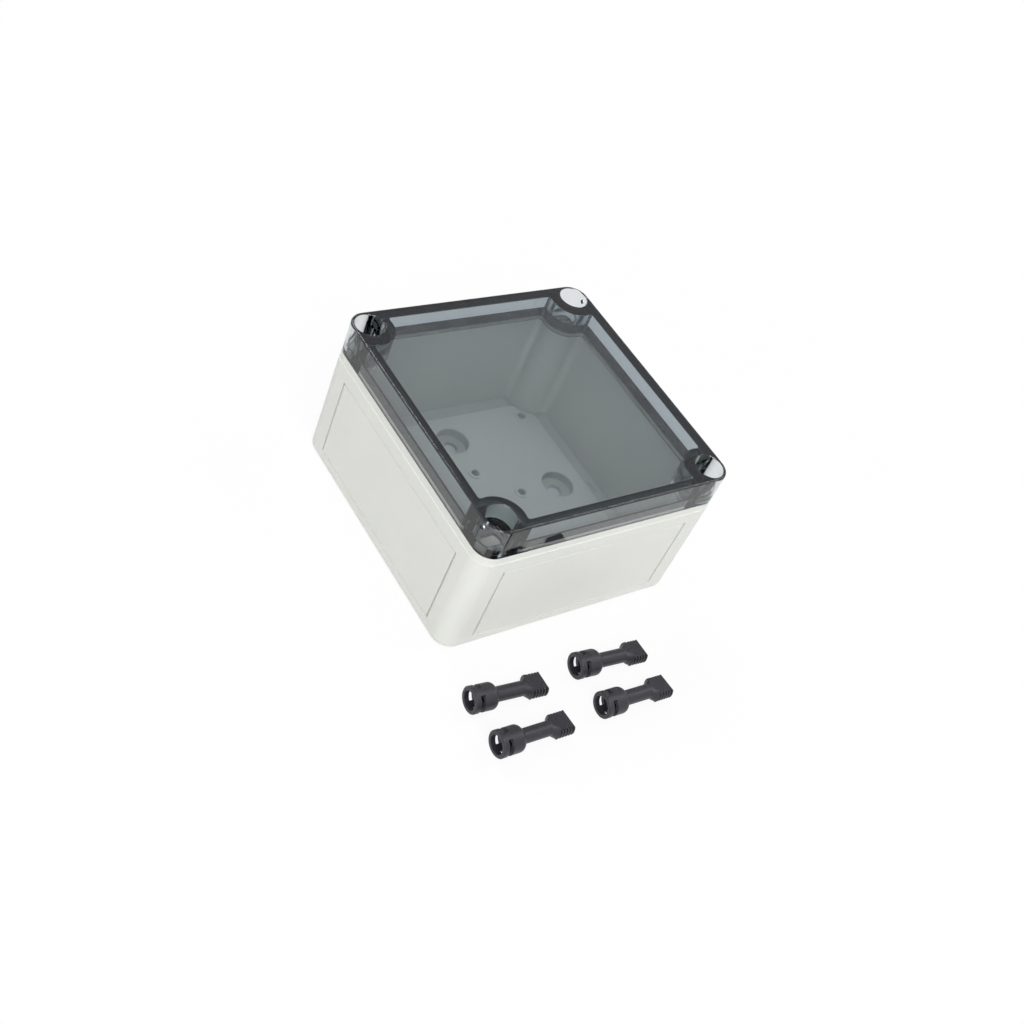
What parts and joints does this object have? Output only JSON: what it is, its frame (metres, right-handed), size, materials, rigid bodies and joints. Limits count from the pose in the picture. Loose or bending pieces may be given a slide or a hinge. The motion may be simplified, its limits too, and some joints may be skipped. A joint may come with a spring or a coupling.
{
  "type": "electrical enclosure",
  "caption": "Square wall-mounting electrical enclosure with a light base, a smoked see-through lid with a sealing cord, and quarter-turn cover screws lying loose beside it.",
  "frame": {"origin": "centre of the base's flat back face", "axes": "+Z from the wall out through the lid, X and Y along the box's sides"},
  "size_m": [0.1344, 0.1872, 0.075],
  "materials": {
    "base_plastic": "fine satin",
    "lid_plastic": "clear, smoked grey",
    "seal_rubber": "matt",
    "screw_plastic": "satin"
  },
  "bodies": {
    "base": {"base": "base_plastic"},
    "lid": {"lid": "lid_plastic", "gasket": "seal_rubber"},
    "cover_screw_1": {"cover_screw_1": "screw_plastic"},
    "cover_screw_2": {"cover_screw_2": "screw_plastic"},
    "cover_screw_3": {"cover_screw_3": "screw_plastic"},
    "cover_screw_4": {"cover_screw_4": "screw_plastic"}
  },
  "joints": [
    {"name": "lid_lift", "type": "slide", "parent": "base", "child": "lid", "axis": [0, 0, 1], "range_m": [0, 0.06]},
    {"name": "cover_screw_1_pick_up", "type": "slide", "parent": "base", "child": "cover_screw_1", "axis": [0, 0, 1], "range_m": [0, 0.08]},
    {"name": "cover_screw_2_pick_up", "type": "slide", "parent": "base", "child": "cover_screw_2", "axis": [0, 0, 1], "range_m": [0, 0.08]},
    {"name": "cover_screw_3_pick_up", "type": "slide", "parent": "base", "child": "cover_screw_3", "axis": [0, 0, 1], "range_m": [0, 0.08]},
    {"name": "cover_screw_4_pick_up", "type": "slide", "parent": "base", "child": "cover_screw_4", "axis": [0, 0, 1], "range_m": [0, 0.08]}
  ]
}
